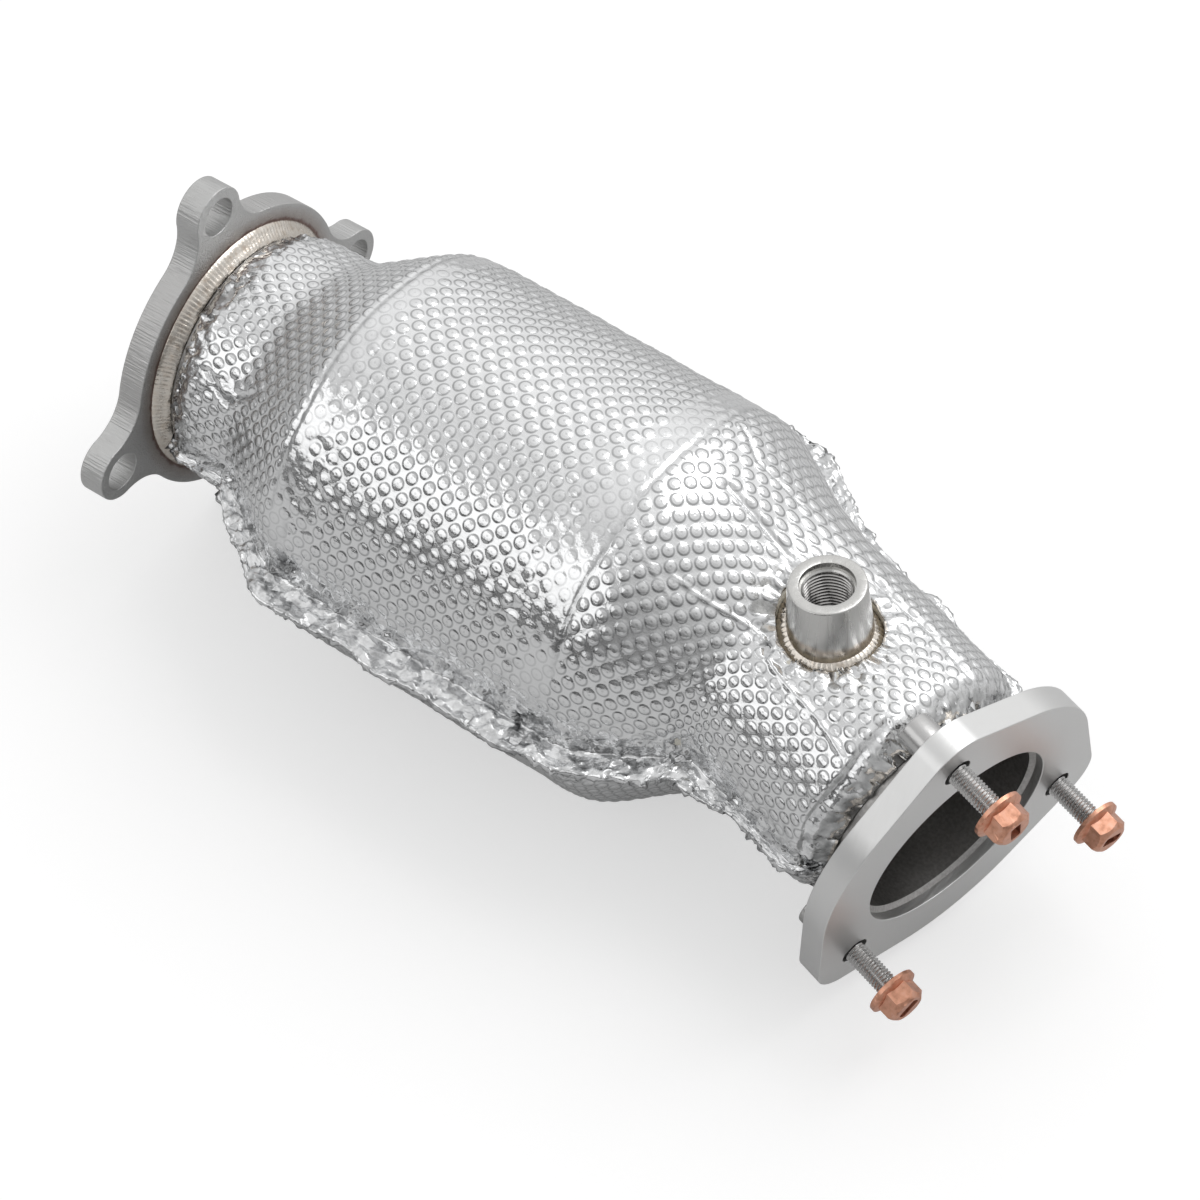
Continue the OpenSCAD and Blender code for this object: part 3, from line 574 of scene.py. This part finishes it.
# The folds' tilts come from noise_vector, which is random until it is given a seed.
noise.seed_set(3)
half_shell("heat_shield_upper", 1, 1, 340, (4, 3, 14, 6, 226), 60, (2, 1, 3, 2, 50), "upper_shield")
half_shell("heat_shield_lower", -1, 5, 340, (0, 0, 14, 6, 236), 60, (0, 0, 3, 2, 50), "lower_shield")


# Insulation mat
# Needled ceramic wool in two halves. It lies between the hot parts and the foil, which
# hides it.
def dress(node, material):
    """Gives a CAD node its finish."""
    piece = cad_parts[node]
    piece.data.materials.clear()
    piece.data.materials.append(material)


wool, wool_shader, fibre = new_finish("ceramic_wool", (0.86, 0.83, 0.74), 0.95, 0.0)
bump(fibre, grain(fibre, 900.0, (1.0, 4.0, 1.0), 4.0), 0.6, 0.0006).to(wool_shader, "Normal")
for node in ("upper_insulation", "lower_insulation"):
    dress(node, wool)


# Inlet flange
# A 10 mm stainless plate with four ears, cut by water jet: its faces are satin,
# and the jet leaves fine lines across the edge. The weld tints it round the tube.
def filed(name, node, material, width):
    """A copy of a CAD node with its edges rounded, in the node's place."""
    made = bmesh.new()
    made.from_mesh(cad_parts[node].data)
    bmesh.ops.remove_doubles(made, verts=made.verts, dist=1e-6)
    bmesh.ops.dissolve_limit(
        made, angle_limit=math.radians(0.5), verts=made.verts, edges=made.edges
    )
    sharp = [e for e in made.edges if e.is_manifold and e.calc_face_angle() > math.radians(32)]
    bmesh.ops.bevel(
        made, geom=sharp, offset=width * MM, offset_type="OFFSET", segments=3,
        profile=0.5, affect="EDGES", clamp_overlap=True, material=-1,
    )
    for face in made.faces:
        face.smooth = True
    bmesh.ops.triangulate(made, faces=[f for f in made.faces if len(f.verts) > 4])
    mesh = bpy.data.meshes.new(name)
    made.to_mesh(mesh)
    made.free()
    mesh.set_sharp_from_angle(angle=math.radians(32))
    piece = new_piece(name, mesh, material)
    piece.modifiers.new("flat faces stay flat", "WEIGHTED_NORMAL").keep_sharp = True
    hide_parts(node)


plate_colour = (0.56, 0.56, 0.555)
plate, plate_shader, cut = new_finish("plate_inlet", plate_colour, 0.42)
_, y, z = object_point(cut).parts()
from_axis = (y * y + z * z) ** 0.5
haze = grain(cut, 260.0, detail=3.0)
toe_r, tint_width = 48.0, 12.0
reach = from_axis * 1000.0 + haze * 2.4 - 1.2
tint = ((reach - toe_r) / tint_width).clipped().ramp(
    (0.0, (0.16, 0.11, 0.09)),
    (0.16, (0.20, 0.135, 0.12)),
    (0.24, (0.40, 0.36, 0.34)),
    (0.60, (0.53, 0.525, 0.52)),
    (1.0, plate_colour),
)
tint.to(plate_shader, "Base Color")
(grain(cut, 90.0) * 0.12 + 0.36).to(plate_shader, "Roughness")
jet_lines = grain(cut, 1500.0, (0.04, 1.0, 1.0), 3.0)
bump(cut, jet_lines, 0.9, 0.0005).to(plate_shader, "Normal")
filed("inlet_plate", "inlet_flange", plate, 0.45)

# Outlet flange
# The same plate with three bowed sides, faced on a lathe and brushed at its edge. It is
# welded round the outlet tube, whose end stands back inside its bore.
outlet_axis = Vector((0.9602937, -0.252231, -0.119229))
outlet_centre = Vector((335.01452, -26.21059, -12.38969)) * MM
bend_z = Vector((0.0, -math.sin(bend_clock), math.cos(bend_clock)))
outlet_y = bend_z.cross(outlet_axis)
face_plate, face_shader, faced = new_finish("plate_outlet", (0.76, 0.76, 0.755), 0.36)
(grain(faced, 60.0) * 0.1 + 0.32).to(face_shader, "Roughness")
brushed = grain(faced, 900.0, (1.0, 0.12, 0.12), 3.0, (0.0, 0.12, -0.257))
bump(faced, brushed, 0.3, 0.0003).to(face_shader, "Normal")
filed("outlet_plate", "outlet_flange", face_plate, 0.35)

# Tubes, cones and can
# Rolled stainless sheet, brushed round its axis. Inside, the outlet tube is dull
# from the heat and speckled.
tube, tube_shader, rolled = new_finish("tube_steel", (0.50, 0.49, 0.48), 0.38)
speckle = grain(rolled, 900.0, detail=4.0)
speckle.ramp((0.35, (0.36, 0.35, 0.34)), (0.65, (0.48, 0.47, 0.46))).to(tube_shader, "Base Color")
bump(rolled, grain(rolled, 500.0, (0.1, 1.0, 1.0)), 0.15, 0.0003).to(tube_shader, "Normal")
for node in ("neck_tube", "inlet_cone", "can_shell", "outlet_cone", "outlet_tube"):
    dress(node, tube)

# Catalyst core
# Corrugated and flat steel foil, wound together and brazed into a thin mantle, which
# sits in the can.
core, core_shader, coat = new_finish("core_foil", (0.42, 0.38, 0.33), 0.6)
bump(coat, grain(coat, 1500.0), 0.3, 0.0002).to(core_shader, "Normal")
dress("core_mantle", tube)
for node in ("core_corrugated_foil", "core_flat_foil"):
    dress(node, core)


# Sensor bung
# Turned from stainless bar, its cone brushed along its length, with an internal
# M18 x 1.5 thread below a plain mouth. It stands on the outlet tube.
tube_r, bung_high = 38.05, 26.0
bung_foot = bung_top - bung_axis * (tube_r + bung_high) * MM


def placed(origin, axis):
    """From a piece's own space, in mm along Z, to the row frame."""
    turn = axis.to_track_quat("Z", "Y").to_matrix().to_4x4()
    return Matrix.Translation(origin) @ turn @ Matrix.Scale(MM, 4)


def spun(profile, steps, closed=True):
    """A bmesh turned about Z from a line of (radius, height) points, in mm."""
    made = bmesh.new()
    line = [made.verts.new((radius, 0.0, height)) for radius, height in profile]
    edges = [made.edges.new(pair) for pair in zip(line, line[1:])]
    if closed:
        edges.append(made.edges.new((line[-1], line[0])))
    bmesh.ops.spin(
        made, geom=line + edges, cent=(0, 0, 0), axis=(0, 0, 1), dvec=(0, 0, 0),
        angle=2 * math.pi, steps=steps, use_merge=True, use_normal_flip=False, use_duplicate=False,
    )
    bmesh.ops.remove_doubles(made, verts=made.verts, dist=1e-4)
    bmesh.ops.recalc_face_normals(made, faces=made.faces)
    return made


def threaded(made, radius, depth, pitch, low, high):
    """Cuts a thread by moving the points of a plain cylinder, in or out by depth."""
    for vertex in made.verts:
        x, y, z = vertex.co
        r = math.hypot(x, y)
        if abs(r - radius) < 0.02 and low <= z <= high:
            turn = math.atan2(y, x) / (2 * math.pi)
            phase = ((z - low) / pitch - turn) % 1.0
            groove = min(1.0, max(0.0, 1.25 * (1 - abs(2 * phase - 1)) - 0.12))
            fade = min(1.0, (z - low) / pitch, (high - z) / (0.6 * pitch))
            grown = (r + depth * groove * max(0.0, fade)) / r
            vertex.co.x *= grown
            vertex.co.y *= grown


def on_tube(x, y):
    """Height above the bung's foot at which a line along it leaves the tube."""
    turn = bung_axis.to_track_quat("Z", "Y").to_matrix()
    along = turn.inverted() @ outlet_axis
    # A point (x, y, h) lies on the tube where its distance from the tube's axis is tube_r.
    a = 1 - along.z**2
    side = x * along.x + y * along.y
    b = -2 * side * along.z
    c = x * x + y * y - side**2 - tube_r**2
    return (-b + math.sqrt(b * b - 4 * a * c)) / (2 * a)


def finished(made, name, material, node, origin, axis, sharp=32):
    bmesh.ops.transform(made, matrix=placed(origin, axis), verts=made.verts)
    for face in made.faces:
        face.smooth = True
    mesh = bpy.data.meshes.new(name)
    made.to_mesh(mesh)
    made.free()
    mesh.set_sharp_from_angle(angle=math.radians(sharp))
    piece = new_piece(name, mesh, material)
    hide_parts(node)


turned_colour = (0.62, 0.615, 0.60)
turned_steel, turned_shader, turning = new_finish("turned_steel", turned_colour, 0.3)
along_bung = grain(turning, 420.0, (1.0, 1.0, 0.05), 2.0)
(along_bung * 0.24 + 0.16).to(turned_shader, "Roughness")
bump(turning, along_bung, 0.35, 0.0005).to(turned_shader, "Normal")
bung_x, bung_y, bung_z = object_point(turning).parts()
off_x, off_y, off_z = bung_x - bung_top.x, bung_y - bung_top.y, bung_z - bung_top.z
along_axis = off_x * bung_axis.x + off_y * bung_axis.y + off_z * bung_axis.z
bore_reach = (off_x * off_x + off_y * off_y + off_z * off_z - along_axis * along_axis) ** 0.5
groove_r, groove_edge, bore_limit, heat_low, heat_high = 8.4, 0.3, 9.25, 38.6, 6.0
# Painted shade: the grooves of the thread inside the bore are painted nearly black, for the shade in
# them; elsewhere the bung has its heat tint by height.
in_groove = ((bore_reach * 1000.0 - groove_r) / groove_edge).clipped()
in_bore = bore_reach.math("LESS_THAN", bore_reach * 1000.0, bore_limit)
in_bore = in_bore * (-1.0 - along_axis * 400.0).clipped()
heat = ((bung_z * 1000.0 + along_bung * 1.5 - heat_low) / heat_high).clipped()
heat_tint = heat.ramp((0.3, (0.70, 0.65, 0.59)), (0.6, (0.60, 0.53, 0.46)), (0.95, turned_colour))
painted_groove_shade = in_groove.mix((0.60, 0.59, 0.58), (0.03, 0.027, 0.025))
in_bore.mix(heat_tint, painted_groove_shade).to(turned_shader, "Base Color")
top, mouth_low = tube_r + bung_high, tube_r + bung_high - 2.5
bore_r, bung_pitch, rows_per_turn = 8.2, 1.5, 8
thread_low, thread_top = tube_r + 2.0, mouth_low - 0.6
thread_rows = int((thread_top - thread_low) / bung_pitch * rows_per_turn)
foot_low = 30.0
bung_profile = [(bore_r, foot_low), (14.8, foot_low), (14.8, 39.0), (13.25, top - 0.75)]
bung_profile += [(13.12, top - 0.35), (12.85, top - 0.1), (12.5, top), (9.75, top), (9.4, top - 0.12)]
bung_profile += [(9.3, top - 0.4), (9.3, mouth_low), (bore_r + 0.55, mouth_low)]
bung_profile += [
    (bore_r, thread_top - (thread_top - thread_low) * t / thread_rows)
    for t in range(thread_rows + 1)
]
bung = spun(bung_profile, 112)
threaded(bung, bore_r, 0.9, bung_pitch, thread_low, thread_top)
for vertex in bung.verts:
    if vertex.co.z < foot_low + 0.5:
        vertex.co.z = on_tube(vertex.co.x, vertex.co.y)
finished(bung, "sensor_bung_turned", turned_steel, "sensor_bung", bung_foot, bung_axis)

# Welds
# TIG beads laid by hand, each a row of overlapping ripples. Their own heat tints
# them straw, with a brown line at the toes.
weld_straw = (0.68, 0.625, 0.56)
bead_metal, bead_shader, bead = new_finish("weld_bead", weld_straw, 0.3)
smoke = grain(bead, 380.0, detail=3.0)
smoke.ramp((0.2, (0.52, 0.44, 0.36)), (0.45, weld_straw), (0.8, (0.74, 0.71, 0.66))).to(
    bead_shader, "Base Color"
)
(smoke * 0.2 + 0.14).to(bead_shader, "Roughness")
bump(bead, grain(bead, 900.0), 0.35, 0.0004).to(bead_shader, "Normal")
random.seed(11)


def ripple_bead(section, ripples, height, seat=None):
    """A bead turned from its section, with a row of ripples round it."""
    steps_each = 6
    made = spun(section, ripples * steps_each)
    depth = [random.uniform(0.6, 1.3) for _ in range(ripples)]
    middle = (sum(r for r, _ in section) / len(section), sum(h for _, h in section) / len(section))
    for vertex in made.verts:
        x, y, z = vertex.co
        r = math.hypot(x, y)
        out_r, out_z = r - middle[0], z - middle[1]
        size = math.hypot(out_r, out_z) or 1.0
        lean = 0.5 * out_r / size
        turn = (math.atan2(y, x) / (2 * math.pi)) % 1.0 * ripples
        phase = (turn + 0.35 * lean) % 1.0
        crest = depth[int(turn) % ripples] * (1 - phase) * min(1.0, phase * 6)
        moved = height * (crest - 0.5)
        facing = max(0.0, (out_r + out_z) / size)
        vertex.co.x *= (r + moved * facing * out_r / size) / r
        vertex.co.y *= (r + moved * facing * out_r / size) / r
        vertex.co.z += moved * facing * out_z / size
    if seat:
        for vertex in made.verts:
            vertex.co.z += seat(vertex.co.x, vertex.co.y)
    return made


x_axis = Vector((1.0, 0.0, 0.0))
neck_bead = [(44.45, 10.0), (49.4, 10.0), (49.2, 10.6), (48.2, 11.5), (47.2, 12.4), (46.2, 13.4)]
neck_bead += [(45.2, 14.6), (44.45, 15.0)]
finished(
    ripple_bead(neck_bead, 176, 0.5), "inlet_weld_bead", bead_metal, "inlet_flange_weld",
    Vector((0, 0, 0)), x_axis, 60,
)
bung_bead = [(14.4, 0.1), (17.8, 0.1), (17.8, 4.0), (17.4, 4.9), (16.5, 5.7), (15.4, 6.3)]
bung_bead += [(14.4, 6.6)]
finished(
    ripple_bead(bung_bead, 58, 0.5, on_tube), "bung_weld_bead", bead_metal, "sensor_bung_weld",
    bung_foot, bung_axis, 60,
)
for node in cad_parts:
    if node.endswith("weld") or node.endswith("seam"):
        if node not in ("inlet_flange_weld", "sensor_bung_weld"):
            dress(node, tube if node == "outlet_bore_weld" else bead_metal)

# Screws
# Three M8 steel screws with round socket heads behind the plate. Bare thread shows
# between the plate and the nut.
screw, screw_shader, rolled_thread = new_finish("screw_steel", (0.56, 0.555, 0.55), 0.27)
bump(rolled_thread, grain(rolled_thread, 900.0), 0.15, 0.0002).to(screw_shader, "Normal")
head_low, plate_back, screw_tip = -21.5, -10.0, 24.0
minor_r, thread_pitch, screw_circle = 3.3, 1.25, 52.5
shaft_low, shaft_high = -1.0, screw_tip - 0.7
shaft_rows = int((shaft_high - shaft_low) / thread_pitch * rows_per_turn)
screw_profile = [(4.1, head_low), (5.9, head_low), (6.3, head_low + 0.25), (6.5, head_low + 0.7)]
screw_profile += [(6.5, plate_back - 0.3), (6.3, plate_back), (4.4, plate_back), (4.0, plate_back + 0.4)]
screw_profile += [(4.0, -4.0)]
screw_profile += [
    (minor_r, shaft_low + (shaft_high - shaft_low) * t / shaft_rows) for t in range(shaft_rows + 1)
]
screw_profile += [(2.6, screw_tip), (0.0, screw_tip)]
for number in (1, 2, 3):
    clock = math.radians(17.5 + 120.0 * (number - 1))
    out = outlet_y * math.cos(clock) + bend_z * math.sin(clock)
    seat = outlet_centre + out * screw_circle * MM
    made = spun(screw_profile, 40, closed=False)
    threaded(made, minor_r, 0.7, thread_pitch, shaft_low, shaft_high)
    rim = [e for e in made.edges if e.is_boundary]
    socket = bmesh.ops.create_circle(
        made, cap_ends=False, segments=6, radius=3.46,
        matrix=Matrix.Translation((0, 0, head_low)),
    )["verts"]
    mouth = list({e for v in socket for e in v.link_edges})
    bmesh.ops.bridge_loops(made, edges=rim + mouth)
    walls = bmesh.ops.extrude_edge_only(made, edges=mouth)["geom"]
    deep = [g for g in walls if isinstance(g, bmesh.types.BMVert)]
    bmesh.ops.translate(made, verts=deep, vec=(0, 0, 5.7))
    bmesh.ops.contextual_create(made, geom=[g for g in walls if isinstance(g, bmesh.types.BMEdge)])
    bmesh.ops.recalc_face_normals(made, faces=made.faces)
    finished(made, f"screw_{number}", screw, f"flange_screw_{number}", seat,
             outlet_axis)

# Nuts
# Copper-plated steel flange nuts, their crowns squeezed to a slot so that they lock.
# They are run on to the ends of the screws.
copper, copper_shader, plating = new_finish("nut_copper", (0.74, 0.38, 0.26), 0.34)
mottle = grain(plating, 420.0, detail=4.0)
mottle.ramp((0.3, (0.56, 0.27, 0.18)), (0.5, (0.74, 0.38, 0.26)), (0.75, (0.82, 0.48, 0.36))).to(
    copper_shader, "Base Color"
)
(mottle * 0.22 + 0.24).to(copper_shader, "Roughness")
bump(plating, grain(plating, 1400.0), 0.18, 0.0002).to(copper_shader, "Normal")
for number in (1, 2, 3):
    filed(f"nut_{number}", f"flange_nut_{number}", copper, 0.3)

# Studio floor
# A white sweep that the part lies on. It shows white, keeps the part's shadow and
# can be looked through from below.
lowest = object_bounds()[0].z
floor_mesh = bpy.data.meshes.new("floor")
sweep = bmesh.new()
bmesh.ops.create_grid(sweep, x_segments=1, y_segments=1, size=6.0)
bmesh.ops.translate(sweep, verts=sweep.verts, vec=(0.17, 0.0, lowest - 0.0002))
sweep.to_mesh(floor_mesh)
sweep.free()
floor = bpy.data.objects.new("floor", floor_mesh)
bpy.context.scene.collection.objects.link(floor)
white, white_shader, paper = new_finish("floor_white", (0.56, 0.56, 0.56), 0.9, 0.0)
floor_mesh.materials.append(white)


def background_rays(wire):
    """1 for the rays that show the background: straight, mirrored or through glass."""
    camera_ray = wire.node("LightPath", output="Is Camera Ray")
    glossy_ray = wire.node("LightPath", output="Is Glossy Ray")
    clear_ray = wire.node("LightPath", output="Is Transmission Ray")
    return camera_ray, (glossy_ray + clear_ray).clipped()


white_shader.inputs["Emission Color"].default_value = (1.0, 1.0, 1.0, 1.0)
straight, mirrored = background_rays(paper)
(straight * 0.5 + mirrored * 0.04).to(white_shader, "Emission Strength")
from_below = paper.node("NewGeometry", output="Backfacing")
see_through = paper.node("BsdfTransparent")
shown = paper.node(
    "MixShader",
    {0: from_below, 1: Wire(white.node_tree, white_shader.outputs["BSDF"]), 2: see_through},
)
white.node_tree.links.new(
    shown.socket, white.node_tree.nodes["Material Output"].inputs["Surface"]
)

# Studio light
# A soft white studio, brighter above and behind the part than on the camera's side,
# and two soft boxes.
world = bpy.data.worlds.new("studio")
bpy.context.scene.world = world
world.use_nodes = True
sky = Wire(world.node_tree)
backdrop = world.node_tree.nodes["Background"]
direction = sky.node("TexCoord", output="Generated")
_, sky_y, sky_z = direction.parts()
room = sky_z * 0.50 + sky_y * 0.36 + 0.36
straight, mirrored = background_rays(sky)
level = straight + (1 - straight) * (room.clipped() + mirrored * 0.06)
level.to(backdrop, "Strength")
backdrop.inputs["Color"].default_value = (1.0, 1.0, 1.0, 1.0)


def soft_box(name, place, size, power):
    light = bpy.data.lights.new(name, "AREA")
    light.shape = "RECTANGLE"
    light.size, light.size_y = size
    light.energy = power
    lamp = bpy.data.objects.new(name, light)
    bpy.context.scene.collection.objects.link(lamp)
    aim = Vector((0.17, 0.0, 0.0)) - Vector(place)
    lamp.matrix_world = Matrix.Translation(place) @ aim.to_track_quat("-Z", "Y").to_matrix().to_4x4()


soft_box("key", (0.55, 0.85, 1.5), (1.3, 1.3), 9.0)
soft_box("front", (-0.5, -1.3, 0.9), (2.0, 1.0), 5.0)

bpy.context.scene.view_settings.view_transform = "Standard"
